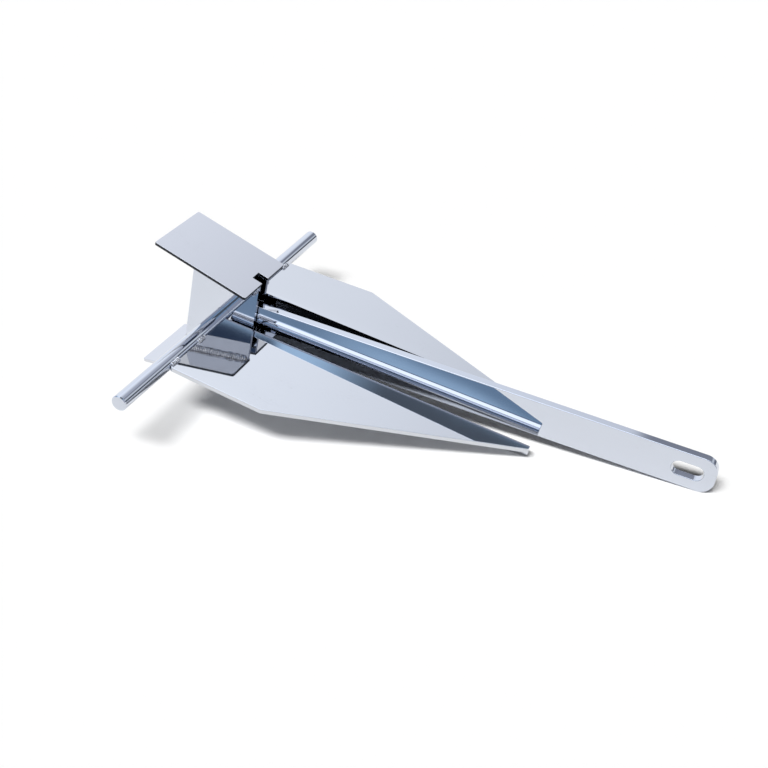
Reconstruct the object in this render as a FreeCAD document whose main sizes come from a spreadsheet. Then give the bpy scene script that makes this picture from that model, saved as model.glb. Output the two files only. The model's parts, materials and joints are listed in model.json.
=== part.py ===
"""Twin-fluke anchor of polished stainless plate, with a flat shank that pivots on a round stock.

Each piece is drawn in the anchor's own frame: the origin is the middle of the stock, +X runs in the plane
of the flukes towards the shackle end, +Y along the stock and +Z square to the flukes. A last placement sets
the whole anchor down as it lies on a floor, on the heel of its lower palm, the knee of its right fluke's
flange and the end of its shank.
"""
import FreeCAD, Part
import math
import os
import re

import Sketcher

# Driving sizes, in millimetres and degrees
SIZES = {
    "stock_length": 520,
    "stock_diameter": 20,
    "stock_chamfer": 1.2,
    "shank_reach": 662,
    "shank_depth": 48,
    "shank_thickness": 12,
    "shank_root": 24,
    "shank_root_corner": 20,
    "shank_end_corner": 18,
    "shank_edge_round": 1,
    "slot_width": 20,
    "slot_length": 40,
    "slot_wall": 14.5,
    "pivot_clearance": 0.1,
    "fluke_thickness": 6,
    "fluke_reach": 442,
    "fluke_heel_width": 164,
    "fluke_shoulder_station": 139.5,
    "fluke_shoulder_width": 171.5,
    "fluke_heel_gap": 16.5,
    "fluke_tip_gap": 23.2,
    "fluke_tip_width": 15,
    "fluke_corner": 4,
    "fluke_edge_round": 0.8,
    "flange_heel_height": 37,
    "flange_knee_station": 334,
    "flange_knee_height": 30,
    "flange_tip_height": 12.5,
    "flange_bend_radius": 5,
    "palm_length": 137.5,
    "palm_width": 110,
    "palm_thickness": 4,
    "palm_front_station": 47,
    "palm_front_height": 64.2,
    "palm_pitch": 12,
    "palm_corner": 3,
    "palm_edge_round": 0.6,
    "notch_width": 16.4,
    "notch_depth": 14.7,
    "cheek_thickness": 5,
    "cheek_front_setback": 1.5,
    "cheek_rear_reach": 50,
    "weld_gap": 0.1,
    "palm_weld_radius": 6.5,
    "stock_weld_radius": 4.2,
    "stock_weld_reach": 97,
    "stock_weld_tack": 12,
}

doc = FreeCAD.newDocument("TwinFlukeAnchor")
sheet = doc.addObject("Spreadsheet::Sheet", "Sizes")
for row, (alias, number) in enumerate(SIZES.items(), 1):
    sheet.set(f"A{row}", alias.replace("_", " "))
    sheet.set(f"B{row}", str(number))
    sheet.setAlias(f"B{row}", alias)
doc.recompute()


def formula(text):
    """The formula with each size written as a cell of the sheet."""
    return re.sub(r"[a-z]\w*", lambda word: "Sizes." + word[0] if word[0] in SIZES else word[0], text)


def value(text):
    """The number that a formula in the sheet's sizes comes to."""
    return float(sheet.evalExpression(formula(text)))


# Formulas that more than one piece shares
STOCK_RADIUS = "stock_diameter / 2"
PALM_PITCH = "(palm_pitch * 1 deg)"
CHEEK_FRONT = "(palm_front_station - cheek_front_setback)"
CHEEK_OUTER = "(notch_width / 2 + cheek_thickness)"
FLUKE_REAR = f"({STOCK_RADIUS} + weld_gap)"
BEND_ANGLE = f"atan((fluke_tip_gap - fluke_heel_gap) / (fluke_reach - {FLUKE_REAR}))"
BEND_OUTSIDE = "(flange_bend_radius + fluke_thickness)"


def palm_inner_height(station):
    """Height of the upper palm's inner face over the fluke plane at a station along X."""
    rise = f"(palm_front_station - ({station})) * tan{PALM_PITCH}"
    return f"(palm_front_height + {rise} - palm_thickness / cos{PALM_PITCH})"


def new_body(label):
    body = doc.addObject("PartDesign::Body", label)
    body.Label = label
    return body


def origin_plane(body, role):
    return next(plane for plane in body.Origin.OriginFeatures if plane.Role == role)


def new_sketch(body, role, name):
    sketch = body.newObject("Sketcher::SketchObject", f"{body.Name}_{name}")
    sketch.AttachmentSupport = [(origin_plane(body, role), "")]
    sketch.MapMode = "FlatFace"
    return sketch


def drive(sketch, constraint, name, text):
    """Add a constraint whose size follows a formula."""
    sketch.addConstraint(constraint)
    sketch.renameConstraint(sketch.ConstraintCount - 1, name)
    sketch.setExpression(f"Constraints.{name}", formula(text))


def place_point(sketch, geometry, position, name, x_text, y_text):
    """Hold a point of the sketch at two formulas, measured from the sketch's origin."""
    for kind, letter, text in (("DistanceX", "x", x_text), ("DistanceY", "y", y_text)):
        constraint = Sketcher.Constraint(kind, -1, 1, geometry, position, value(text))
        drive(sketch, constraint, f"{name}_{letter}", text)


def draw_outline(sketch, corners, arcs=None, name="corner"):
    """Draw a closed outline through corners given as pairs of formulas.

    arcs gives, for a side that is round, its radius and the way it turns: 1 anticlockwise, -1 clockwise.
    """
    arcs = arcs or {}
    places = [FreeCAD.Vector(value(x_text), value(y_text), 0) for x_text, y_text in corners]
    sides = []
    for number, start in enumerate(places):
        end = places[(number + 1) % len(places)]
        if number in arcs:
            radius_text, turn = arcs[number]
            radius = value(radius_text)
            chord = end - start
            across = FreeCAD.Vector(-chord.y, chord.x, 0).normalize()
            rise = math.sqrt(radius ** 2 - (chord.Length / 2) ** 2)
            centre = (start + end) * 0.5 + across * rise * turn
            first, last = (start, end) if turn > 0 else (end, start)
            first_angle = math.atan2(first.y - centre.y, first.x - centre.x)
            last_angle = math.atan2(last.y - centre.y, last.x - centre.x)
            circle = Part.Circle(centre, FreeCAD.Vector(0, 0, 1), radius)
            geometry = sketch.addGeometry(Part.ArcOfCircle(circle, first_angle, last_angle), False)
            sides.append((geometry, 1, 2) if turn > 0 else (geometry, 2, 1))
            drive(sketch, Sketcher.Constraint("Radius", geometry, radius), f"{name}{number}_r", radius_text)
        else:
            geometry = sketch.addGeometry(Part.LineSegment(start, end), False)
            sides.append((geometry, 1, 2))
    for number, (geometry, start_position, _) in enumerate(sides):
        before, _, end_position = sides[number - 1]
        sketch.addConstraint(Sketcher.Constraint("Coincident", before, end_position, geometry, start_position))
        place_point(sketch, geometry, start_position, f"{name}{number}", *corners[number])


def draw_circle(sketch, name, radius_text, x_text="0", y_text="0"):
    centre = FreeCAD.Vector(value(x_text), value(y_text), 0)
    circle = Part.Circle(centre, FreeCAD.Vector(0, 0, 1), value(radius_text))
    geometry = sketch.addGeometry(circle, False)
    drive(sketch, Sketcher.Constraint("Radius", geometry, value(radius_text)), f"{name}_r", radius_text)
    place_point(sketch, geometry, 3, name, x_text, y_text)


def pad(body, sketch, length_text):
    """Thicken a sketch evenly to both sides of its plane."""
    feature = body.newObject("PartDesign::Pad", f"{sketch.Name}_pad")
    feature.Profile = sketch
    feature.Midplane = True
    feature.setExpression("Length", formula(length_text))
    doc.recompute()
    return feature


def pocket(body, sketch):
    """Cut a sketch right through the body, to both sides of its plane."""
    before = body.Shape.Volume
    feature = body.newObject("PartDesign::Pocket", f"{sketch.Name}_pocket")
    feature.Profile = sketch
    feature.Type = "ThroughAll"
    feature.Midplane = True
    doc.recompute()
    if body.Shape.Volume >= before:
        raise RuntimeError(f"{feature.Name} cuts nothing")
    return feature


def round_edges(body, name, radius_text, wanted):
    """Round those edges of the body's last feature that pass a test."""
    base = body.Tip
    names = [f"Edge{number}" for number, edge in enumerate(base.Shape.Edges, 1) if wanted(edge)]
    if not names:
        raise RuntimeError(f"{body.Name}_{name} finds no edge")
    feature = body.newObject("PartDesign::Fillet", f"{body.Name}_{name}")
    feature.Base = (base, names)
    feature.setExpression("Radius", formula(radius_text))
    doc.recompute()
    return feature


def near(number, other):
    return abs(number - other) < 0.01


def stands_at(edge, axis, places):
    """True for a straight edge along an axis that passes through one of the places."""
    if edge.Curve.TypeId != "Part::GeomLine" or abs(edge.tangentAt(edge.FirstParameter).dot(axis)) < 0.999:
        return False
    middle = edge.CenterOfMass
    flat = middle - axis * middle.dot(axis)
    return any((flat - place).Length < 0.01 for place in places)


X_AXIS = FreeCAD.Vector(1, 0, 0)
Y_AXIS = FreeCAD.Vector(0, 1, 0)
Z_AXIS = FreeCAD.Vector(0, 0, 1)


def make_stock():
    """Round bar that both flukes are welded to and the shank turns on."""
    body = new_body("stock")
    section = new_sketch(body, "XZ_Plane", "section")
    draw_circle(section, "bar", STOCK_RADIUS)
    pad(body, section, "stock_length")
    base = body.Tip
    chamfer = body.newObject("PartDesign::Chamfer", "stock_ends")
    rims = [f"Edge{number}" for number, edge in enumerate(base.Shape.Edges, 1)
            if edge.Curve.TypeId == "Part::GeomCircle"]
    chamfer.Base = (base, rims)
    chamfer.setExpression("Size", formula("stock_chamfer"))
    doc.recompute()
    return body


def make_shank():
    """Flat bar with a round hole for the stock at its root and a shackle slot at its end."""
    body = new_body("shank")
    outline = new_sketch(body, "XZ_Plane", "outline")
    half = "shank_depth / 2"
    draw_outline(outline, [
        ("-shank_root", f"-{half}"),
        ("shank_reach", f"-{half}"),
        ("shank_reach", half),
        ("-shank_root", half),
    ])
    pad(body, outline, "shank_thickness")

    depth = value(half)
    ends = [FreeCAD.Vector(value("shank_reach"), 0, side * depth) for side in (-1, 1)]
    roots = [FreeCAD.Vector(-value("shank_root"), 0, side * depth) for side in (-1, 1)]
    round_edges(body, "end", "shank_end_corner", lambda edge: stands_at(edge, Y_AXIS, ends))
    round_edges(body, "root", "shank_root_corner", lambda edge: stands_at(edge, Y_AXIS, roots))

    outer_centre = "(shank_reach - slot_wall - slot_width / 2)"
    inner_centre = f"({outer_centre} - slot_length + slot_width)"
    slot_ends = new_sketch(body, "XZ_Plane", "slot_ends")
    draw_circle(slot_ends, "outer", "slot_width / 2", outer_centre)
    pocket(body, slot_ends)
    slot_root = new_sketch(body, "XZ_Plane", "slot_root")
    draw_circle(slot_root, "inner", "slot_width / 2", inner_centre)
    pocket(body, slot_root)
    slot = new_sketch(body, "XZ_Plane", "slot")
    draw_outline(slot, [
        (inner_centre, "-slot_width / 2"),
        (outer_centre, "-slot_width / 2"),
        (outer_centre, "slot_width / 2"),
        (inner_centre, "slot_width / 2"),
    ])
    pocket(body, slot)

    face = value("shank_thickness / 2")
    round_edges(body, "edges", "shank_edge_round", lambda edge: all(
        near(abs(edge.valueAt(at).y), face) for at in (edge.FirstParameter, edge.LastParameter)))

    bore = new_sketch(body, "XZ_Plane", "bore")
    draw_circle(bore, "stock", f"{STOCK_RADIUS} + pivot_clearance")
    pocket(body, bore)
    return body


def make_fluke(label):
    """Left fluke: a flat blade that butts on the stock, its whole inner edge bent up into a flange."""
    body = new_body(label)
    half = "fluke_thickness / 2"
    deepest = "(flange_heel_height + fluke_thickness)"
    widest = "(fluke_shoulder_width * 2)"
    section = new_sketch(body, "YZ_Plane", "section")
    section.AttachmentOffset = FreeCAD.Placement(
        FreeCAD.Vector(value("fluke_heel_gap"), 0, value(FLUKE_REAR)), FreeCAD.Rotation(Y_AXIS, 1))
    section.setExpression("AttachmentOffset.Base.x", formula("fluke_heel_gap"))
    section.setExpression("AttachmentOffset.Base.z", formula(FLUKE_REAR))
    section.setExpression("AttachmentOffset.Rotation.Angle", formula(BEND_ANGLE))
    draw_outline(section, [
        ("0", deepest),
        ("0", f"{BEND_OUTSIDE} - {half}"),
        (BEND_OUTSIDE, f"-{half}"),
        (widest, f"-{half}"),
        (widest, half),
        (BEND_OUTSIDE, half),
        ("fluke_thickness", f"{half} + flange_bend_radius"),
        ("fluke_thickness", deepest),
    ], {1: (BEND_OUTSIDE, 1), 5: ("flange_bend_radius", -1)})
    pad(body, section, "fluke_reach * 3")

    blade = new_sketch(body, "XY_Plane", "blade")
    draw_outline(blade, [
        (FLUKE_REAR, "0"),
        ("fluke_reach", "0"),
        ("fluke_reach", "fluke_tip_gap + fluke_tip_width"),
        ("fluke_shoulder_station", "fluke_shoulder_width"),
        (FLUKE_REAR, "fluke_heel_width"),
    ])
    draw_outline(blade, [
        ("-fluke_reach * 2", "-fluke_reach"),
        ("fluke_reach * 3", "-fluke_reach"),
        ("fluke_reach * 3", "fluke_reach"),
        ("-fluke_reach * 2", "fluke_reach"),
    ], name="waste")
    pocket(body, blade)

    flange = new_sketch(body, "XZ_Plane", "flange")
    draw_outline(flange, [
        (FLUKE_REAR, "flange_heel_height"),
        ("flange_knee_station", "flange_knee_height"),
        ("fluke_reach", "flange_tip_height"),
        ("fluke_reach", f"{deepest} + fluke_thickness"),
        (FLUKE_REAR, f"{deepest} + fluke_thickness"),
    ])
    pocket(body, flange)

    corners = [
        FreeCAD.Vector(value("fluke_shoulder_station"), value("fluke_shoulder_width"), 0),
        FreeCAD.Vector(value(FLUKE_REAR), value("fluke_heel_width"), 0),
        FreeCAD.Vector(value("fluke_reach"), value("fluke_tip_gap + fluke_tip_width"), 0),
    ]
    round_edges(body, "corners", "fluke_corner", lambda edge: stands_at(edge, Z_AXIS, corners))

    thickness = value(half)
    station = value("fluke_shoulder_station")

    def is_outer_rim(edge):
        """The long outer rims of the blade's two faces, from the heel to the tip."""
        ends = [edge.valueAt(at) for at in (edge.FirstParameter, edge.LastParameter)]
        flat = all(near(abs(end.z), thickness) for end in ends)
        outside = all(end.y > value("fluke_tip_gap + fluke_tip_width / 2") for end in ends)
        return flat and outside and max(end.x for end in ends) > value(FLUKE_REAR) + station * 0.1

    round_edges(body, "rim", "fluke_edge_round", is_outer_rim)
    return body


def make_palm(label):
    """Upper palm: a flat plate, drawn level, with a notch in its front edge that lets the shank swing."""
    body = new_body(label)
    outline = new_sketch(body, "XY_Plane", "outline")
    half = "palm_width / 2"
    draw_outline(outline, [
        ("0", f"-{half}"),
        ("0", "-notch_width / 2"),
        ("-notch_depth", "-notch_width / 2"),
        ("-notch_depth", "notch_width / 2"),
        ("0", "notch_width / 2"),
        ("0", half),
        ("-palm_length", half),
        ("-palm_length", f"-{half}"),
    ])
    pad(body, outline, "palm_thickness")
    corners = [FreeCAD.Vector(x, side * value(half), 0) for x in (0, -value("palm_length")) for side in (-1, 1)]
    round_edges(body, "corners", "palm_corner", lambda edge: stands_at(edge, Z_AXIS, corners))
    face = value("palm_thickness / 2")
    round_edges(body, "edges", "palm_edge_round", lambda edge: all(
        near(abs(edge.valueAt(at).z), face) for at in (edge.FirstParameter, edge.LastParameter)))
    return body


def make_cheek(label):
    """Side plate of the crown: it joins both palms beside the shank, and the stock passes through it."""
    body = new_body(label)
    outline = new_sketch(body, "XZ_Plane", "outline")
    front = palm_inner_height(CHEEK_FRONT)
    rear = palm_inner_height("-cheek_rear_reach")
    draw_outline(outline, [
        (CHEEK_FRONT, f"-{front}"),
        (CHEEK_FRONT, front),
        ("-cheek_rear_reach", rear),
        ("-cheek_rear_reach", f"-{rear}"),
    ])
    pad(body, outline, "cheek_thickness")
    bore = new_sketch(body, "XZ_Plane", "bore")
    draw_circle(bore, "stock", f"{STOCK_RADIUS} + weld_gap")
    pocket(body, bore)
    return body


def bead(start, end, radius):
    """A round weld bead along a line, with rounded ends, before the plates are cut out of it."""
    run = end - start
    core = Part.makeCylinder(radius, run.Length, start, run)
    for tip in (start, end):
        core = core.fuse(Part.makeSphere(radius, tip))
    return core.removeSplitter()


def add_feature(label, solids):
    feature = doc.addObject("Part::Feature", label)
    feature.Label = label
    feature.Shape = Part.makeCompound(solids)
    return feature


def make_palm_welds(plates):
    """The four beads in the corners between the cheeks' outer faces and the palms."""
    radius = value("palm_weld_radius")
    front = value(CHEEK_FRONT) - radius
    rear = -value("cheek_rear_reach") + radius
    solids = []
    for side in (-1, 1):
        for face in (-1, 1):
            ends = []
            for station in (rear, front):
                height = value(palm_inner_height(str(station)))
                ends.append(FreeCAD.Vector(station, side * value(CHEEK_OUTER), face * height))
            beside_cheek = max(bead(*ends, radius).cut(plates).Solids, key=lambda solid: solid.Volume)
            solids.append(beside_cheek)
    return add_feature("palm_welds", solids)


def make_stock_welds(seat):
    """Short beads between each fluke's heel and the stock: one beside the palms and one at the outer end."""
    radius = value("stock_weld_radius")
    reaches = (value("stock_weld_reach"), value("fluke_heel_width - fluke_corner"))
    runs = [(reach - radius - value("stock_weld_tack"), reach - radius) for reach in reaches]
    width = value("stock_length")
    thickness = value("fluke_thickness")
    blades = Part.makeBox(width, width, thickness, FreeCAD.Vector(0, -width / 2, -thickness / 2))
    solids = []
    for side in (-1, 1):
        for face in (-1, 1):
            for run in runs:
                ends = [FreeCAD.Vector(value(STOCK_RADIUS), side * reach, face * thickness / 2) for reach in run]
                solids += bead(*ends, radius).cut(seat).cut(blades).Solids
    return add_feature("stock_welds", solids)


def rest_angles():
    """How far the fluke plane tips down at rest, how far the shank stands up from it, and the stock's height.

    The heel of the lower palm and the knee of the right fluke's flange touch the floor, and the rounded lower
    corner of the shank's end lies on it too.
    """
    pitch = math.radians(value("palm_pitch"))
    heel_x = value("palm_front_station") - value("palm_length") * math.cos(pitch)
    heel_z = -value("palm_front_height") - value("palm_length") * math.sin(pitch)
    knee_x = value("flange_knee_station")
    knee_z = -value("flange_knee_height")
    tilt = math.atan2(knee_z - heel_z, knee_x - heel_x)
    stock_height = heel_x * math.sin(tilt) - heel_z * math.cos(tilt)

    corner = value("shank_end_corner")
    along = value("shank_reach") - corner
    across = value("shank_depth") / 2 - corner
    slope = math.atan2(across, along) + math.asin((corner - stock_height) / math.hypot(along, across))
    return math.degrees(tilt), math.degrees(tilt + slope), stock_height


def turned(axis, degrees, place=None):
    return FreeCAD.Placement(place or FreeCAD.Vector(), FreeCAD.Rotation(axis, degrees))


stock = make_stock()
shank = make_shank()
flukes = {1: make_fluke("fluke_left"), -1: make_fluke("fluke_right")}
palms = {1: make_palm("palm_upper"), -1: make_palm("palm_lower")}
cheeks = {1: make_cheek("cheek_left"), -1: make_cheek("cheek_right")}

# Places in the anchor's own frame: the right and lower pieces are the left and upper ones turned half round
HALF_TURN = turned(X_AXIS, 180)
palm_angle = value("palm_pitch")
palm_drop = turned(Y_AXIS, palm_angle).Rotation.multVec(FreeCAD.Vector(0, 0, -value("palm_thickness / 2")))
palm_front = FreeCAD.Vector(value("palm_front_station"), 0, value("palm_front_height"))
palm_place = turned(Y_AXIS, palm_angle, palm_front + palm_drop)
cheek_middle = value("(notch_width + cheek_thickness) / 2")
tilt, shank_angle, stock_height = rest_angles()

placed = {
    stock: FreeCAD.Placement(),
    shank: turned(Y_AXIS, -shank_angle),
    flukes[1]: FreeCAD.Placement(),
    flukes[-1]: HALF_TURN,
    palms[1]: palm_place,
    palms[-1]: HALF_TURN * palm_place,
    cheeks[1]: FreeCAD.Placement(FreeCAD.Vector(0, cheek_middle, 0), FreeCAD.Rotation()),
    cheeks[-1]: FreeCAD.Placement(FreeCAD.Vector(0, -cheek_middle, 0), FreeCAD.Rotation()),
}
for piece, place in placed.items():
    piece.Placement = place
doc.recompute()

plates = Part.makeCompound([piece.Shape for piece in placed if piece not in (stock, shank)])
seat = Part.makeCylinder(value(f"{STOCK_RADIUS} + weld_gap"), value("stock_length"),
                         FreeCAD.Vector(0, -value("stock_length") / 2, 0), Y_AXIS)
palm_welds = make_palm_welds(plates)
stock_welds = make_stock_welds(seat)
placed[palm_welds] = FreeCAD.Placement()
placed[stock_welds] = FreeCAD.Placement()

# The anchor is set down on the floor, with the origin on the floor under the middle of its box
laid = turned(Y_AXIS, tilt)
box = FreeCAD.BoundBox()
for piece in placed:
    box.add(piece.Shape.transformed(laid.toMatrix(), True).optimalBoundingBox())
laid.Base = FreeCAD.Vector(-box.Center.x, -box.Center.y, -box.ZMin)
for piece, place in placed.items():
    piece.Placement = laid * place
doc.recompute()

# Nothing is written unless every object and every piece is sound
for item in doc.Objects:
    if "Invalid" in item.State or "Error" in item.State:
        raise RuntimeError(f"{item.Name} failed: {item.State}")
os.makedirs("parts", exist_ok=True)
for piece in placed:
    if piece.Shape.isNull() or not piece.Shape.isValid():
        raise RuntimeError(f"{piece.Label} has no valid shape")
for piece in placed:
    piece.Shape.exportStep(f"parts/{piece.Label}.step")

volume = sum(piece.Shape.Volume for piece in placed)
print(f"tilt {tilt:.3f} deg, shank {shank_angle:.3f} deg above the flukes, stock {stock_height:.3f} mm up")
print("stock axis at", [round(number, 4) for number in laid.Base])
print(f"volume {volume / 1e6:.4f} litres of metal")
for piece in placed:
    bounds = piece.Shape.BoundBox
    corners = [bounds.XMin, bounds.YMin, bounds.ZMin, bounds.XMax, bounds.YMax, bounds.ZMax]
    print(piece.Label, len(piece.Shape.Solids), "solid", round(piece.Shape.Volume), [round(n, 2) for n in corners])
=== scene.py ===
"""Dresses the solids of a mirror-polished stainless fluke anchor and sets it on a pale studio floor."""
import json
import math
import random

import bmesh
import bpy
from bpy.props import FloatProperty, FloatVectorProperty, IntProperty, PointerProperty
from bpy.types import Operator, Panel, PropertyGroup
from mathutils import Matrix, Vector, noise


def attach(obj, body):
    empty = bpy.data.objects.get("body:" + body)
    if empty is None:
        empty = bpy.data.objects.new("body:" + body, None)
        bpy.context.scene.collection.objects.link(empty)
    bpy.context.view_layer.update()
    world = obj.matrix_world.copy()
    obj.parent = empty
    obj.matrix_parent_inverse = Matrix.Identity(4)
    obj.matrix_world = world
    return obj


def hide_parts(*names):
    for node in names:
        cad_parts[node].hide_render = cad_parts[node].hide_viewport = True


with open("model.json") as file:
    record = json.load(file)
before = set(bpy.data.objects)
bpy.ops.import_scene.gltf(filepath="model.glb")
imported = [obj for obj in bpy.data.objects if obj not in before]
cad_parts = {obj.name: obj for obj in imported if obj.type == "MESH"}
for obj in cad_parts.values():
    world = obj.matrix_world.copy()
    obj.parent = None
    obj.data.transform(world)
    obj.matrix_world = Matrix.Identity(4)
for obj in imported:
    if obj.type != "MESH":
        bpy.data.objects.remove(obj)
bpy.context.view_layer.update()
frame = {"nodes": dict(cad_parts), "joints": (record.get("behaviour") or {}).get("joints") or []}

bl_info = {
    "name": "Fluke Anchor Finish",
    "version": (1, 0, 0),
    "blender": (4, 5, 0),
    "location": "3D View > Sidebar > Anchor",
    "description": "Gives the anchor its polished plate, ripple welds and studio",
    "category": "Object",
}

MM = 0.001


def linear_from_hex(code):
    """Linear colour of an sRGB hex code such as #ced4e0."""
    channels = [int(code[start:start + 2], 16) / 255 for start in (1, 3, 5)]
    return tuple(c / 12.92 if c <= 0.04045 else ((c + 0.055) / 1.055) ** 2.4 for c in channels)


# The crown at rest: the shank's hinge is the stock's middle, and the flukes' plane tips down towards +X
STOCK_MIDDLE = Vector(frame["joints"][0]["pos_m"])
CROWN_TILT = Matrix.Rotation(math.radians(8.473), 3, "Y")

# Sizes of the crown that the welds follow, in the flukes' own frame with the stock's middle as origin:
# half a fluke's thickness, the outer face of a cheek, and the outer front edge of the upper palm
STOCK_RADIUS = 10 * MM
FLUKE_HALF = 3 * MM
CHEEK_FACE = 13.2 * MM
PALM_FRONT = Vector((47.0 * MM, 0, 64.2 * MM))
PALM_PITCH = math.radians(12)
PALM_THICKNESS = 4 * MM

# Ends of the welds, along the crown for those on the palms and out along the stock for those on it
REAR_WELD = -49 * MM
FRONT_WELD = 45 * MM
STOCK_WELD_RUNS = ((78 * MM, 97 * MM), (141 * MM, 160 * MM))

# The way that a weld over the flukes climbs the round of the stock
STOCK_CLIMB = Vector((-0.55, 0, 0.84))

# A bead's shape: the steps round its face, the fewest rings along it, and how deep its root is in the corner.
# The girth at its toes, what its face bulges over that, and the girth left at its ends are shares of its leg.
FACE_STEPS = 14
FEWEST_RINGS = 8
ROOT_DEPTH = 0.25 * MM
TOE_GIRTH = 0.80
FACE_BULGE = 0.12
END_GIRTH = 0.05

# A bead's ripples: how far their middles run ahead of their ends, in ripples, how much of their height is
# lost towards the bead's toes, and how sharply their shine ends there
RIPPLE_BOW = 0.55
TOE_LOSS = 0.6
SHINE_POWER = 6

# Unevenness of a bead laid by hand: how much there is, and the length over which it changes. The reach keeps
# the beads apart in the noise, and the lanes keep the kinds of unevenness apart.
NOISE_REACH = 50
WANDER_SHARE = 0.10
WANDER_LENGTH = 9 * MM
GIRTH_SHARE = 0.16
GIRTH_LENGTH = 6 * MM
GIRTH_LANE = 7
WAVER_SHARE = 0.25
WAVER_LENGTH = 4 * MM
WAVER_LANE = 3
LUMP_HEIGHT = 1.1 * MM
LUMP_LENGTH = 2.0 * MM
LUMPS_ACROSS = 2.5
LUMP_LANE = 11

# The wheel's lines are this many times as long as they are wide
LINE_STRETCH = 50

# How much the grain of brushed weld metal adds to the shine of its ripples
GRAIN_SHARE = 0.55

# The floor sheet's corners, and how far it lies under the anchor, so that the two don't cut into each other
FLOOR_CORNERS = 96
FLOOR_DROP = 0.2 * MM

# A value past the end of each axis of directions, where a panel of the studio has no border
NO_END = 2.0

# Setting of a map range node that rises softly from its low end and settles softly at its high one
SMOOTH = {"interpolation_type": "SMOOTHSTEP"}


class PolishSettings(PropertyGroup):
    """Finish of the rolled plate and bar"""
    plate_color: FloatVectorProperty(
        name="Plate Color", description="Colour that polished stainless plate mirrors white light in",
        default=linear_from_hex("#d0d3d9"), subtype="COLOR", min=0, max=1)
    # Partly painted light: the palms' own stainless tone, made lighter than the flukes' plate so that the
    # palms mirror brighter
    palm_brightened_color: FloatVectorProperty(
        name="Palm Color", description="Colour that the polished palms mirror white light in",
        default=linear_from_hex("#d6d8de"), subtype="COLOR", min=0, max=1)
    bar_color: FloatVectorProperty(
        name="Bar Color", description="Colour that the polished bars and cheeks mirror white light in",
        default=linear_from_hex("#d0d5df"), subtype="COLOR", min=0, max=1)
    haze_color: FloatVectorProperty(
        name="Haze Color", description="Colour of the faint wheel haze and handling marks",
        default=linear_from_hex("#bfc1c6"), subtype="COLOR", min=0, max=1)
    # Painted shade: this dark colour on the upper palm's cut edges stands in for a dark reflection there
    edge_shade_color: FloatVectorProperty(
        name="Edge Color", description="Colour of the cut edges, which the wheel didn't reach",
        default=linear_from_hex("#3a3c40"), subtype="COLOR", min=0, max=1)
    edge_roughness: FloatProperty(
        name="Edge Roughness", description="Roughness of the cut edges", default=0.38, min=0, max=1)
    gloss: FloatProperty(
        name="Gloss Roughness", description="Roughness of the clean mirror", default=0.03, min=0, max=1)
    haze: FloatProperty(
        name="Haze Roughness", description="Roughness inside the haze and marks", default=0.11, min=0, max=1)
    haze_cover: FloatProperty(
        name="Haze Cover", description="How far full haze covers the colour of the clean mirror",
        default=0.8, min=0, max=1)
    patch_size: FloatProperty(
        name="Patch Size", description="Width of the patches in which the wheel left its haze",
        default=45.45 * MM, min=1 * MM, subtype="DISTANCE", unit="LENGTH", precision=4)
    mark_size: FloatProperty(
        name="Mark Size", description="Width of the dull marks from handling",
        default=4.167 * MM, min=0.1 * MM, subtype="DISTANCE", unit="LENGTH", precision=4)
    wave_length: FloatProperty(
        name="Wave Length", description="Distance between the slow waves of a hand-polished plate",
        default=110 * MM, min=1 * MM, subtype="DISTANCE", unit="LENGTH")
    wave_height: FloatProperty(
        name="Wave Height", description="Height of those waves",
        default=0.10 * MM, min=0, subtype="DISTANCE", unit="LENGTH", precision=5)
    line_spacing: FloatProperty(
        name="Line Spacing", description="Spacing of the wheel's lines, drawn coarser than they are",
        default=0.9 * MM, min=0.01 * MM, subtype="DISTANCE", unit="LENGTH", precision=5)
    line_strength: FloatProperty(
        name="Line Strength", description="How much haze the wheel's lines hold inside a patch",
        default=0.35, min=0, max=1)
    line_depth: FloatProperty(
        name="Line Depth", description="Depth of the wheel's lines",
        default=0.0006 * MM, min=0, subtype="DISTANCE", unit="LENGTH", precision=5)


class WeldSettings(PropertyGroup):
    """Shape and finish of the weld beads"""
    weld_color: FloatVectorProperty(
        name="Weld Color", description="Colour of brushed stainless weld metal",
        default=linear_from_hex("#d4d6dc"), subtype="COLOR", min=0, max=1)
    valley_color: FloatVectorProperty(
        name="Valley Color", description="Colour of the oxide that stays between the ripples",
        default=linear_from_hex("#55504c"), subtype="COLOR", min=0, max=1)
    crest_roughness: FloatProperty(
        name="Crest Roughness", description="Roughness of the ripples' crests", default=0.10, min=0, max=1)
    valley_roughness: FloatProperty(
        name="Valley Roughness", description="Roughness between the ripples", default=0.42, min=0, max=1)
    grain_size: FloatProperty(
        name="Grain Size", description="Width of the weld metal's grain, drawn coarser than it is",
        default=1.4286 * MM, min=0.1 * MM, subtype="DISTANCE", unit="LENGTH", precision=5)
    grain_height: FloatProperty(
        name="Grain Height", description="Height of that grain",
        default=0.35 * MM, min=0, subtype="DISTANCE", unit="LENGTH", precision=5)
    ripple_pitch: FloatProperty(
        name="Ripple Pitch", description="Distance from one ripple to the next",
        default=2.8 * MM, min=0.2 * MM, subtype="DISTANCE", unit="LENGTH", precision=4)
    ripple_height: FloatProperty(
        name="Ripple Height", description="Height of a ripple over its valley",
        default=0.6 * MM, min=0, subtype="DISTANCE", unit="LENGTH", precision=5)
    palm_bead: FloatProperty(
        name="Palm Bead", description="Leg of the beads between cheeks and palms",
        default=6.3 * MM, min=0.5 * MM, subtype="DISTANCE", unit="LENGTH", precision=4)
    stock_bead: FloatProperty(
        name="Stock Bead", description="Leg of the beads between flukes and stock",
        default=3.9 * MM, min=0.5 * MM, subtype="DISTANCE", unit="LENGTH", precision=4)
    ring_step: FloatProperty(
        name="Ring Step", description="Distance between the rings that a bead is built of",
        default=0.35 * MM, min=0.05 * MM, subtype="DISTANCE", unit="LENGTH", precision=5)


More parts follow.
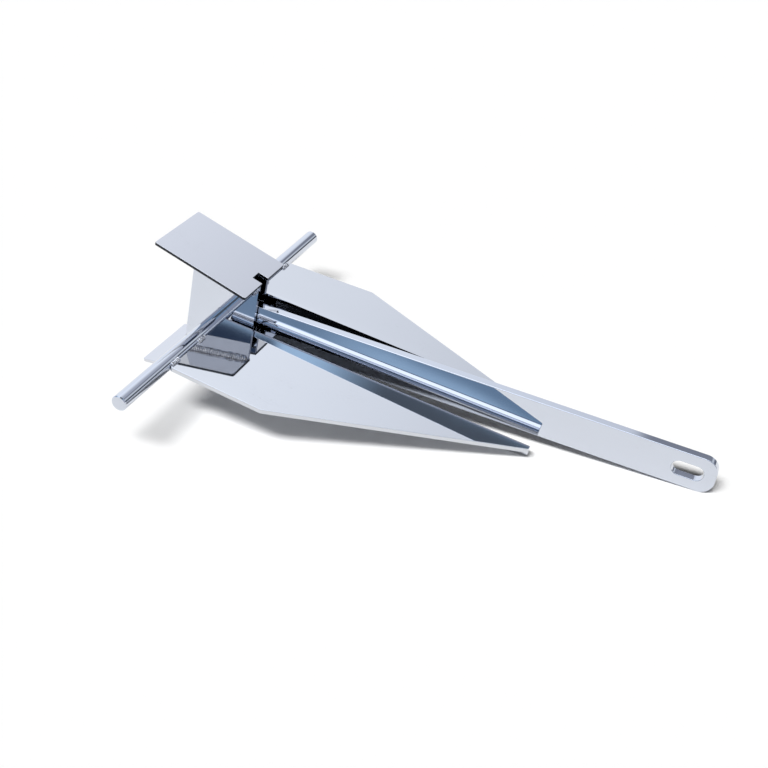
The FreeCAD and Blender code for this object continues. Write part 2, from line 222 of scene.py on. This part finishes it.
class StageSettings(PropertyGroup):
    """Floor, light and camera"""
    floor_color: FloatVectorProperty(
        name="Floor Color", description="Colour of the floor sheet",
        default=linear_from_hex("#fcfcfc"), subtype="COLOR", min=0, max=1)
    sheet_color: FloatVectorProperty(
        name="Sheet Color", description="Colour of the lit sheet all round and of the soft box",
        default=linear_from_hex("#f0f4fb"), subtype="COLOR", min=0, max=1)
    sheet_glow: FloatProperty(
        name="Sheet Glow", description="How bright the sheet mirrors in the metal", default=1.28, min=0)
    low_glow: FloatProperty(
        name="Low Glow", description="How bright the sheet mirrors low behind the anchor",
        default=1.19, min=0)
    high_glow: FloatProperty(
        name="High Glow", description="How bright the sheet mirrors high behind the camera",
        default=2.2, min=0)
    corner_glow: FloatProperty(
        name="Corner Glow", description="How bright the sheet mirrors behind the camera at the crown's end",
        default=1.3, min=0)
    box_glow: FloatProperty(
        name="Box Glow", description="How bright the soft box overhead mirrors in the metal",
        default=2.4, min=0)
    side_color: FloatVectorProperty(
        name="Side Color", description="Colour of the half-lit side past the sheet, and low before the wall",
        default=linear_from_hex("#bcc0cc"), subtype="COLOR", min=0, max=1)
    stand_color: FloatVectorProperty(
        name="Stand Color", description="Colour of the shaded side under the sheet's end",
        default=linear_from_hex("#9094a0"), subtype="COLOR", min=0, max=1)
    strip_color: FloatVectorProperty(
        name="Strip Color", description="Colour of the narrow lit panel at the side",
        default=linear_from_hex("#dadfe6"), subtype="COLOR", min=0, max=1)
    dark_color: FloatVectorProperty(
        name="Dark Color", description="Colour of the unlit room low at the side",
        default=linear_from_hex("#4c5058"), subtype="COLOR", min=0, max=1)
    wall_color: FloatVectorProperty(
        name="Wall Color", description="Colour of the wall behind the camera",
        default=linear_from_hex("#c8e7ff"), subtype="COLOR", min=0, max=1)
    wall_glow: FloatProperty(
        name="Wall Glow", description="How bright that wall mirrors in the metal", default=1.28, min=0)
    shade_color: FloatVectorProperty(
        name="Shade Color", description="Colour of the wall's foot and of the things that stand before it",
        default=linear_from_hex("#8fabc6"), subtype="COLOR", min=0, max=1)
    mottle_scale: FloatProperty(
        name="Mottle Scale", description="How many such things the wall holds across",
        default=9.0, min=0.1)
    mottle_depth: FloatProperty(
        name="Mottle Depth", description="How much they cover the wall", default=0.28, min=0, max=1)
    gap_color: FloatVectorProperty(
        name="Gap Color", description="Colour of the unlit gap between that wall and the soft box",
        default=linear_from_hex("#687079"), subtype="COLOR", min=0, max=1)
    slot_color: FloatVectorProperty(
        name="Slot Color", description="Colour of the narrow unlit slot beside that gap",
        default=linear_from_hex("#3c4a60"), subtype="COLOR", min=0, max=1)
    ambient: FloatProperty(
        name="Ambient", description="Share of the light that comes from all round",
        default=0.05, min=0, max=1)
    key_count: IntProperty(
        name="Key Count", description="Number of soft boxes in the row that lights the floor",
        default=5, min=1)
    key_step: FloatProperty(
        name="Key Step", description="Sideways slope from one soft box of the row to the next",
        default=0.125, min=0)
    key_strength: FloatProperty(
        name="Key Strength", description="Strength of the whole row", default=3.75, min=0)
    key_spread: FloatProperty(
        name="Key Spread", description="Angle over which each soft box lights",
        default=math.radians(14), min=0, max=math.pi, subtype="ANGLE", unit="ROTATION")
    key_slope: FloatVectorProperty(
        name="Key Slope", description="Direction in which the middle soft box shines",
        default=(0.12, 0.66, -1.0), subtype="XYZ")
    floor_radius: FloatProperty(
        name="Floor Radius", description="Radius of the floor sheet", default=40, min=1, unit="LENGTH")
    sensor: FloatProperty(
        name="Sensor Width", description="Width of the camera's sensor, in millimetres",
        default=36, min=1)
    focal: FloatProperty(
        name="Focal Length", description="Focal length on that sensor, in millimetres",
        default=55.670, min=10)
    camera_place: FloatVectorProperty(
        name="Camera Place", description="Where the camera stands",
        default=(0.40440, -1.22808, 0.84162), subtype="TRANSLATION", unit="LENGTH")
    camera_forward: FloatVectorProperty(
        name="Camera Forward", description="Direction that the camera looks in",
        default=(-0.29533, 0.79675, -0.52723), subtype="XYZ")
    camera_right: FloatVectorProperty(
        name="Camera Right", description="Direction of the picture's right side",
        default=(0.92271, 0.38098, 0.05889), subtype="XYZ")


def add(tree, kind, settings=None, **links):
    """Add a node with its settings and links.

    Each link names an input, by name or as inN, and gives a value, an output, or a node whose first output
    in use is meant.
    """
    node = tree.nodes.new(kind)
    for name, setting in (settings or {}).items():
        setattr(node, name, setting)
    for name, source in links.items():
        number = name.removeprefix("in")
        socket = node.inputs[int(number) if number.isdigit() else name.replace("_", " ")]
        if isinstance(source, bpy.types.Node):
            source = next(output for output in source.outputs if output.enabled)
        if isinstance(source, bpy.types.NodeSocket):
            tree.links.new(source, socket)
        else:
            socket.default_value = source
    return node


def new_material(name):
    """A material with an empty node tree, and that tree."""
    material = bpy.data.materials.new(name)
    material.use_nodes = True
    material.node_tree.nodes.clear()
    return material, material.node_tree


def opaque(color, brightness=1.0):
    """A colour as a colour socket wants it, made brighter where that is asked for."""
    return (*(channel * brightness for channel in color), 1.0)


def cut_edges(tree, facing):
    """1 on the faces that stand square to a plate, whose own faces look along facing, and 0 on the rest."""
    normal = add(tree, "ShaderNodeTexCoord").outputs["Normal"]
    along = add(tree, "ShaderNodeVectorMath", {"operation": "DOT_PRODUCT"}, in0=normal, in1=facing)
    flat = add(tree, "ShaderNodeMath", {"operation": "ABSOLUTE"}, in0=along)
    face = add(tree, "ShaderNodeMapRange", SMOOTH, Value=flat, From_Min=0.55, From_Max=0.85)
    return add(tree, "ShaderNodeMath", {"operation": "SUBTRACT"}, in0=1.0, in1=face)


def mirror_polished_stainless(name, settings, color, lay, facing=None):
    """Rolled 316 stainless, buffed on a wheel to a mirror.

    It gives the eye clean reflections that waver slowly, with a faint haze where the wheel left its lines,
    and a few dull marks from handling. lay holds the angles that turn the wheel's lines away from the X axis.
    Where facing gives the way that a plate looks, its cut edges are dull and get a dark colour, which is
    painted shade standing in for a dark reflection.
    """
    material, tree = new_material(name)
    place = add(tree, "ShaderNodeTexCoord").outputs["Object"]
    turned = add(tree, "ShaderNodeMapping", {"vector_type": "TEXTURE"}, Vector=place, Rotation=lay)

    # Haze: patches with the wheel's lines and the dull marks in them
    cloud = add(tree, "ShaderNodeTexNoise", Vector=place, Scale=1 / settings.patch_size, Detail=3.0,
                Roughness=0.55)
    patches = add(tree, "ShaderNodeMapRange", SMOOTH, Value=cloud, From_Min=0.52, From_Max=0.74)
    spots = add(tree, "ShaderNodeTexNoise", Vector=place, Scale=1 / settings.mark_size, Detail=4.0,
                Roughness=0.7)
    dull_spots = add(tree, "ShaderNodeMapRange", SMOOTH, Value=spots, From_Min=0.62, From_Max=0.70)
    marks = add(tree, "ShaderNodeMath", {"operation": "MULTIPLY"}, in0=dull_spots, in1=patches)
    stretched = add(tree, "ShaderNodeMapping", Vector=turned, Scale=(1 / LINE_STRETCH, 1.0, 1.0))
    lines = add(tree, "ShaderNodeTexNoise", Vector=stretched, Scale=1 / settings.line_spacing, Detail=2.0,
                Roughness=0.6)
    deep_lines = add(tree, "ShaderNodeMapRange", SMOOTH, Value=lines, From_Min=0.45, From_Max=0.75)
    wheel = add(tree, "ShaderNodeMath", {"operation": "MULTIPLY"}, in0=deep_lines, in1=settings.line_strength)
    streaks = add(tree, "ShaderNodeMath", {"operation": "MULTIPLY"}, in0=patches, in1=wheel)
    haze = add(tree, "ShaderNodeMath", {"operation": "ADD", "use_clamp": True}, in0=streaks, in1=marks)

    # Colour and roughness
    cover = add(tree, "ShaderNodeMath", {"operation": "MULTIPLY"}, in0=haze, in1=settings.haze_cover)
    base = add(tree, "ShaderNodeMix", {"data_type": "RGBA"}, in0=cover, in6=opaque(color),
               in7=opaque(settings.haze_color))
    rough = add(tree, "ShaderNodeMapRange", Value=haze, To_Min=settings.gloss, To_Max=settings.haze)
    if facing is not None:
        # Painted shade: the cut edges take a dark colour that stands in for a dark reflection
        edge = cut_edges(tree, facing)
        base = add(tree, "ShaderNodeMix", {"data_type": "RGBA"}, in0=edge, in6=base,
                   in7=opaque(settings.edge_shade_color))
        rough = add(tree, "ShaderNodeMapRange", Value=edge, To_Min=rough, To_Max=settings.edge_roughness)

    # Slow waves of the plate under the wheel's lines
    slow = add(tree, "ShaderNodeTexNoise", Vector=place, Scale=1 / settings.wave_length, Detail=1.0,
               Roughness=0.4)
    waves = add(tree, "ShaderNodeBump", Height=slow, Distance=settings.wave_height)
    grooves = add(tree, "ShaderNodeBump", Height=lines, Distance=settings.line_depth, Normal=waves)
    metal = add(tree, "ShaderNodeBsdfPrincipled", Base_Color=base, Roughness=rough, Metallic=1.0,
                Normal=grooves)
    add(tree, "ShaderNodeOutputMaterial", Surface=metal)
    return material


def brushed_weld_stainless(name, settings):
    """Stainless weld metal, wire-brushed and passed over by the buffing wheel.

    It gives the eye bright ripple crests over dull grey-brown valleys, which glitter along the bead.
    """
    material, tree = new_material(name)
    place = add(tree, "ShaderNodeTexCoord").outputs["Object"]
    crest = add(tree, "ShaderNodeAttribute", {"attribute_name": "crest"}).outputs["Fac"]
    grain = add(tree, "ShaderNodeTexNoise", Vector=place, Scale=1 / settings.grain_size, Detail=3.0,
                Roughness=0.65)
    shine = add(tree, "ShaderNodeMath", {"operation": "MULTIPLY_ADD"}, in0=grain, in1=GRAIN_SHARE, in2=crest)
    bright = add(tree, "ShaderNodeMapRange", SMOOTH, Value=shine, From_Min=0.35, From_Max=1.0)
    base = add(tree, "ShaderNodeMix", {"data_type": "RGBA"}, in0=bright, in6=opaque(settings.valley_color),
               in7=opaque(settings.weld_color))
    rough = add(tree, "ShaderNodeMapRange", Value=bright, To_Min=settings.valley_roughness,
                To_Max=settings.crest_roughness)
    skin = add(tree, "ShaderNodeBump", Height=grain, Distance=settings.grain_height, Strength=1.0)
    metal = add(tree, "ShaderNodeBsdfPrincipled", Base_Color=base, Roughness=rough, Metallic=1.0, Normal=skin)
    add(tree, "ShaderNodeOutputMaterial", Surface=metal)
    return material


def matt_floor_sheet(settings):
    """White matt backdrop paper. It gives the eye an even pale ground with a soft shadow."""
    material, tree = new_material("matt_white_paper")
    paper = add(tree, "ShaderNodeBsdfPrincipled", Base_Color=opaque(settings.floor_color), Roughness=0.9,
                Specular_IOR_Level=0.0)
    add(tree, "ShaderNodeOutputMaterial", Surface=paper)
    return material


def give_material(piece, material):
    """Put one material in every slot of an object."""
    if not piece.material_slots:
        piece.data.materials.append(material)
    for slot in piece.material_slots:
        slot.material = material


def new_piece(name, mesh, body, material, replaced):
    """Set a mesh in the scene as a piece that rides on a body and stands for a node of the solid model."""
    piece = bpy.data.objects.new(name, mesh)
    bpy.context.scene.collection.objects.link(piece)
    mesh.materials.append(material)
    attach(piece, body)
    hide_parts(replaced)


def bead_rings(start, end, side_a, side_b, leg, settings, seed):
    """Rings of points along a ripple weld in the corner between two faces.

    side_a and side_b run along the two faces, away from the corner. Each ring starts at the bead's root in
    the corner and goes round its face, and holds pairs of a point and how near it is to a ripple's crest.
    """
    draw = random.Random(seed)
    shift = Vector([draw.uniform(0, NOISE_REACH) for axis in range(3)])
    length = (end - start).length
    ahead = (end - start).normalized()
    normal = (side_a + side_b).normalized()
    count = max(FEWEST_RINGS, round(length / settings.ring_step))
    rings = []
    for number in range(count + 1):
        at = length * number / count
        middle = start + ahead * at
        end_distance = min(at, length - at)
        swell = math.sqrt(max(0.0, 1 - max(0.0, 1 - end_distance / leg) ** 2))
        wander = noise.noise(shift + Vector((at / WANDER_LENGTH, 0, 0))) * WANDER_SHARE * leg
        growth = noise.noise(shift + Vector((at / GIRTH_LENGTH, GIRTH_LANE, 0)))
        girth = leg * (1 + GIRTH_SHARE * growth) * max(swell, END_GIRTH)
        ring = [(middle - normal * ROOT_DEPTH, 0.0)]
        for turn in range(FACE_STEPS + 1):
            share = turn / FACE_STEPS
            across = 2 * share - 1
            waver = noise.noise(shift + Vector((at / WAVER_LENGTH, WAVER_LANE, across)))
            phase = at / settings.ripple_pitch + RIPPLE_BOW * across ** 2 + WAVER_SHARE * waver
            crest = abs(math.sin(math.pi * phase))
            lift = settings.ripple_height * (crest - 0.5) * (1 - TOE_LOSS * across ** 2) * swell
            bump = noise.noise(shift + Vector((at / LUMP_LENGTH, across * LUMPS_ACROSS, LUMP_LANE)))
            lump = LUMP_HEIGHT * bump * swell
            outward = side_a.lerp(side_b, share).normalized()
            arc = outward * (girth * (TOE_GIRTH + FACE_BULGE * (1 - across ** 2)) + lift + lump)
            point = middle + arc + (side_b - side_a) * wander / 2
            ring.append((point, crest * (1 - abs(across) ** SHINE_POWER)))
        rings.append(ring)
    return rings


def bead_mesh(mesh_name, beads, settings):
    """One mesh of several closed beads. Its crest attribute keeps how near each point is to a crest."""
    mesh = bpy.data.meshes.new(mesh_name)
    build = bmesh.new()
    layer = build.verts.layers.float.new("crest")
    for seed, bead in enumerate(beads, start=1):
        rings = []
        for ring in bead_rings(*bead, settings, seed):
            points = []
            for place, crest in ring:
                point = build.verts.new(place)
                point[layer] = crest
                points.append(point)
            rings.append(points)
        for before, after in zip(rings, rings[1:]):
            for number in range(len(before)):
                following = (number + 1) % len(before)
                build.faces.new((before[number], before[following], after[following], after[number]))
        build.faces.new(rings[0][::-1])
        build.faces.new(rings[-1])
    bmesh.ops.recalc_face_normals(build, faces=build.faces)
    for face in build.faces:
        face.smooth = True
    build.to_mesh(mesh)
    build.free()
    return mesh


def palm_corner(face, side, station):
    """A point in the corner of a cheek's outer face and a palm's inner face, at a station along the crown."""
    rise = (PALM_FRONT.x - station) * math.tan(PALM_PITCH)
    height = PALM_FRONT.z + rise - PALM_THICKNESS / math.cos(PALM_PITCH)
    return CROWN_TILT @ Vector((station, side * CHEEK_FACE, face * height)) + STOCK_MIDDLE


def weld_material(settings):
    """The one weld material, which the first beads make and the others share."""
    name = "brushed_weld_stainless"
    return bpy.data.materials.get(name) or brushed_weld_stainless(name, settings)


class AnchorOperator:
    """What all buttons of the panel have in common"""
    bl_options = {"REGISTER", "UNDO"}


class ANCHOR_OT_polish_plates(AnchorOperator, Operator):
    """Give the flukes, palms and cheeks their mirror-polished plate"""
    bl_idname = "anchor.polish_plates"
    bl_label = "Polish Plates"

    def execute(self, context):
        settings = context.scene.anchor_polish
        palm_up = CROWN_TILT @ Matrix.Rotation(PALM_PITCH, 3, "Y") @ Vector((0, 0, 1))
        # Each plate's colour, the turn of the wheel's lines on it in radians, and the way that it looks where
        # its cut edges get the painted dark edge shade
        plates = {
            "fluke_left": (settings.plate_color, 0.15, None),
            "fluke_right": (settings.plate_color, -0.12, None),
            # Both palms take the lightened palm colour, which is painted light over their own stainless tone
            "palm_upper": (settings.palm_brightened_color, 0.4, palm_up),
            "palm_lower": (settings.palm_brightened_color, -0.3, None),
            "cheek_left": (settings.bar_color, 0.1, None),
            "cheek_right": (settings.bar_color, -0.1, None),
        }
        for name, (color, turn, facing) in plates.items():
            material = mirror_polished_stainless(f"mirror_polished_stainless_{name}", settings, color,
                                                 (0, 0, turn), facing)
            give_material(frame["nodes"][name], material)
        return {"FINISHED"}


class ANCHOR_OT_polish_shank(AnchorOperator, Operator):
    """Give the shank bar its mirror polish, with the wheel's lines along it"""
    bl_idname = "anchor.polish_shank"
    bl_label = "Polish Shank"

    def execute(self, context):
        settings = context.scene.anchor_polish
        give_material(frame["nodes"]["shank"], mirror_polished_stainless(
            "mirror_polished_stainless_bar", settings, settings.bar_color, (0, 0, 0)))
        return {"FINISHED"}


class ANCHOR_OT_polish_stock(AnchorOperator, Operator):
    """Give the stock its centreless-polished finish, with the wheel's lines round it"""
    bl_idname = "anchor.polish_stock"
    bl_label = "Polish Stock"

    def execute(self, context):
        settings = context.scene.anchor_polish
        give_material(frame["nodes"]["stock"], mirror_polished_stainless(
            "mirror_polished_stainless_rod", settings, settings.bar_color, (0, math.pi / 2, 0)))
        return {"FINISHED"}


class ANCHOR_OT_palm_welds(AnchorOperator, Operator):
    """Lay the ripple welds between the cheeks and the palms"""
    bl_idname = "anchor.palm_welds"
    bl_label = "Palm Welds"

    def execute(self, context):
        settings = context.scene.anchor_weld
        beads = []
        # Right and left cheek, lower and upper palm: outward runs along the palm, and inward along the cheek
        for side in (-1, 1):
            outward = Vector((0, side, 0))
            for face in (-1, 1):
                start, end = palm_corner(face, side, REAR_WELD), palm_corner(face, side, FRONT_WELD)
                inward = (end - start).normalized().cross(outward).normalized()
                if (inward @ CROWN_TILT).z * face > 0:
                    inward = -inward
                beads.append((start, end, inward, outward, settings.palm_bead))
        mesh = bead_mesh("palm_weld_beads", beads, settings)
        new_piece("palm_weld_beads", mesh, "crown", weld_material(settings), "palm_welds")
        return {"FINISHED"}


class ANCHOR_OT_stock_welds(AnchorOperator, Operator):
    """Lay the ripple welds between the flukes and the stock"""
    bl_idname = "anchor.stock_welds"
    bl_label = "Stock Welds"

    def execute(self, context):
        settings = context.scene.anchor_weld
        root = math.sqrt(STOCK_RADIUS ** 2 - FLUKE_HALF ** 2)
        on_fluke = CROWN_TILT @ Vector((1, 0, 0))
        beads = []
        # Right and left fluke, lower and upper face
        for side in (-1, 1):
            for face in (-1, 1):
                on_stock = CROWN_TILT @ Vector((STOCK_CLIMB.x, 0, face * STOCK_CLIMB.z)).normalized()
                for run in STOCK_WELD_RUNS:
                    start, end = (
                        CROWN_TILT @ Vector((root, side * distance, face * FLUKE_HALF)) + STOCK_MIDDLE
                        for distance in run)
                    beads.append((start, end, on_fluke, on_stock, settings.stock_bead))
        mesh = bead_mesh("stock_weld_beads", beads, settings)
        new_piece("stock_weld_beads", mesh, "crown", weld_material(settings), "stock_welds")
        return {"FINISHED"}


def lay_floor(settings):
    """A round floor sheet, far wider than the picture."""
    mesh = bpy.data.meshes.new("floor_sheet")
    build = bmesh.new()
    bmesh.ops.create_circle(build, cap_ends=True, segments=FLOOR_CORNERS, radius=settings.floor_radius)
    build.to_mesh(mesh)
    build.free()
    floor = bpy.data.objects.new("floor_sheet", mesh)
    floor.location.z = -FLOOR_DROP
    bpy.context.scene.collection.objects.link(floor)
    mesh.materials.append(matt_floor_sheet(settings))


def lit_room(tree, settings):
    """Colour of the studio in each direction, as the polished metal mirrors it.

    A lit sheet goes all round. Panels lie over it, the later ones on top, each with its colour and the span
    of directions that it fills along some of the axes: from, to, and the softness of its border. +Y is the
    side behind the anchor, -Y is the camera's side, and -X is the crown's end.
    """
    direction = add(tree, "ShaderNodeTexCoord").outputs["Generated"]
    axes = add(tree, "ShaderNodeSeparateXYZ", Vector=direction).outputs
    mottle = add(tree, "ShaderNodeTexNoise", Vector=direction, Scale=settings.mottle_scale, Detail=1.5)
    bare = add(tree, "ShaderNodeMapRange", Value=mottle, From_Min=0.35, From_Max=0.65,
               To_Min=1 - settings.mottle_depth)
    wall = add(tree, "ShaderNodeMix", {"data_type": "RGBA"}, in0=bare, in6=opaque(settings.shade_color),
               in7=opaque(settings.wall_color, settings.wall_glow))
    low_sheet = opaque(settings.sheet_color, settings.low_glow)
    high_sheet = opaque(settings.sheet_color, settings.high_glow)
    corner_sheet = opaque(settings.sheet_color, settings.corner_glow)
    soft_box = opaque(settings.sheet_color, settings.box_glow)
    side = opaque(settings.side_color)
    stand = opaque(settings.stand_color)
    strip = opaque(settings.strip_color)
    dark = opaque(settings.dark_color)
    shade = opaque(settings.shade_color)
    gap = opaque(settings.gap_color)
    slot = opaque(settings.slot_color)

    behind = {"Y": (0.2, NO_END, 0.1)}
    before = {"Y": (-NO_END, -0.22, 0.25)}
    panels = (
        # Behind the anchor
        (low_sheet, {**behind, "Z": (-NO_END, 0.565, 0.02)}),
        (side, {**behind, "X": (0.0, NO_END, 0.60)}),
        (stand, {**behind, "X": (0.01, NO_END, 0.02), "Z": (-NO_END, 0.57, 0.04)}),
        (strip, {**behind, "X": (0.42, NO_END, 0.06), "Z": (0.22, 0.45, 0.04)}),
        (dark, {**behind, "X": (0.54, NO_END, 0.06), "Z": (-NO_END, 0.21, 0.04)}),
        # Behind the camera
        (wall, before),
        (high_sheet, {**before, "Z": (0.75, NO_END, 0.16)}),
        (side, {**before, "Z": (-NO_END, 0.50, 0.10)}),
        (shade, {**before, "Z": (0.50, 0.570, 0.010)}),
        (shade, {**before, "X": (-0.40, -0.17, 0.10), "Z": (0.50, 0.586, 0.006)}),
        (corner_sheet, {**before, "X": (-NO_END, -0.22, 0.10), "Z": (0.66, NO_END, 0.24)}),
        (gap, {**before, "X": (-0.16, NO_END, 0.08), "Z": (0.584, 0.76, 0.012)}),
        (slot, {**before, "X": (-0.32, -0.222, 0.014), "Z": (0.590, 0.66, 0.006)}),
        # Overhead
        (soft_box, {"X": (-0.36, 0.22, 0.06), "Y": (-NO_END, 0.20, 0.06), "Z": (0.86, NO_END, 0.05)}),
    )
    room = opaque(settings.sheet_color, settings.sheet_glow)
    for color, spans in panels:
        cover = 1.0
        for axis, (low, high, soft) in spans.items():
            above = add(tree, "ShaderNodeMapRange", SMOOTH, Value=axes[axis], From_Min=low - soft / 2,
                        From_Max=low + soft / 2)
            beyond = add(tree, "ShaderNodeMapRange", SMOOTH, Value=axes[axis], From_Min=high - soft / 2,
                         From_Max=high + soft / 2)
            inside = add(tree, "ShaderNodeMath", {"operation": "SUBTRACT"}, in0=above, in1=beyond)
            cover = add(tree, "ShaderNodeMath", {"operation": "MULTIPLY"}, in0=cover, in1=inside)
        room = add(tree, "ShaderNodeMix", {"data_type": "RGBA"}, in0=cover, in6=room, in7=color)
    return room


def light_studio(scene, settings):
    """Studio that the metal mirrors, an even glow for the floor, and a row of soft boxes from above."""
    world = bpy.data.worlds.new("white_studio")
    scene.world = world
    world.use_nodes = True
    tree = world.node_tree
    tree.nodes.clear()

    # Rays that the metal mirrors see the room, the camera sees white past the floor, and scattered rays get
    # the even glow
    rays = add(tree, "ShaderNodeLightPath").outputs
    mirrored = add(tree, "ShaderNodeMath", {"operation": "MAXIMUM"}, in0=rays["Is Glossy Ray"],
                   in1=rays["Is Transmission Ray"])
    scattered = add(tree, "ShaderNodeMath", {"operation": "MINIMUM"}, in0=rays["Diffuse Depth"], in1=1.0)
    direct = add(tree, "ShaderNodeMath", {"operation": "SUBTRACT"}, in0=1.0, in1=scattered)
    seen = add(tree, "ShaderNodeMath", {"operation": "MULTIPLY"}, in0=mirrored, in1=direct)
    color = add(tree, "ShaderNodeMix", {"data_type": "RGBA"}, in0=seen, in6=(1, 1, 1, 1),
                in7=lit_room(tree, settings))
    shown = add(tree, "ShaderNodeMath", {"operation": "MAXIMUM"}, in0=seen, in1=rays["Is Camera Ray"])
    strength = add(tree, "ShaderNodeMapRange", Value=shown, To_Min=settings.ambient, To_Max=1.0)
    studio = add(tree, "ShaderNodeBackground", Color=color, Strength=strength)
    add(tree, "ShaderNodeOutputWorld", Surface=studio)

    for number in range(settings.key_count):
        aside = (number - (settings.key_count - 1) / 2) * settings.key_step
        shine = Vector(settings.key_slope) + Vector((aside, 0, 0))
        lamp = bpy.data.lights.new("soft_light", "SUN")
        lamp.angle = settings.key_spread
        lamp.energy = settings.key_strength / settings.key_count
        light = bpy.data.objects.new("soft_light", lamp)
        light.rotation_euler = shine.to_track_quat("-Z", "Y").to_euler()
        light.visible_glossy = False
        scene.collection.objects.link(light)


def place_camera(scene, settings):
    """The camera of the photograph, which is held a few degrees askew, and sees to the floor's far edge."""
    forward = Vector(settings.camera_forward).normalized()
    right = Vector(settings.camera_right).normalized()
    up = right.cross(forward).normalized()
    view = bpy.data.cameras.new("camera")
    view.lens = settings.focal
    view.sensor_width = settings.sensor
    view.clip_end = 1.5 * settings.floor_radius
    camera = bpy.data.objects.new("camera", view)
    turn = Matrix((right, up, -forward)).transposed()
    camera.matrix_world = Matrix.Translation(settings.camera_place) @ turn.to_4x4()
    scene.collection.objects.link(camera)
    scene.camera = camera


class ANCHOR_OT_stage(AnchorOperator, Operator):
    """Set up the floor, the studio light and the camera"""
    bl_idname = "anchor.stage"
    bl_label = "Stage"

    def execute(self, context):
        settings = context.scene.anchor_stage
        lay_floor(settings)
        light_studio(context.scene, settings)
        place_camera(context.scene, settings)
        context.scene.view_settings.view_transform = "Standard"
        return {"FINISHED"}


class ANCHOR_PT_panel(Panel):
    """Buttons and sizes of the anchor's finish"""
    bl_label = "Anchor Finish"
    bl_idname = "ANCHOR_PT_panel"
    bl_space_type = "VIEW_3D"
    bl_region_type = "UI"
    bl_category = "Anchor"

    def draw(self, context):
        layout = self.layout
        for operator in OPERATORS:
            layout.operator(operator.bl_idname)
        for group in GROUPS:
            box = layout.box()
            settings = getattr(context.scene, group)
            for name in settings.bl_rna.properties.keys():
                if name not in ("rna_type", "name"):
                    box.prop(settings, name)


OPERATORS = (ANCHOR_OT_polish_plates, ANCHOR_OT_polish_shank, ANCHOR_OT_polish_stock, ANCHOR_OT_palm_welds,
             ANCHOR_OT_stock_welds, ANCHOR_OT_stage)
GROUPS = {"anchor_polish": PolishSettings, "anchor_weld": WeldSettings, "anchor_stage": StageSettings}


def register():
    """Make the settings, the operators and the panel known to Blender."""
    for kind in (*GROUPS.values(), *OPERATORS, ANCHOR_PT_panel):
        bpy.utils.register_class(kind)
    for name, group in GROUPS.items():
        setattr(bpy.types.Scene, name, PointerProperty(type=group))


def unregister():
    """Take them out of Blender again."""
    for name in GROUPS:
        delattr(bpy.types.Scene, name)
    for kind in (ANCHOR_PT_panel, *reversed(OPERATORS), *reversed(tuple(GROUPS.values()))):
        bpy.utils.unregister_class(kind)


def main():
    """Dress the anchor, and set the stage."""
    register()
    for operator in OPERATORS:
        group, name = operator.bl_idname.split(".")
        getattr(getattr(bpy.ops, group), name)()


if __name__ == "__main__":
    main()
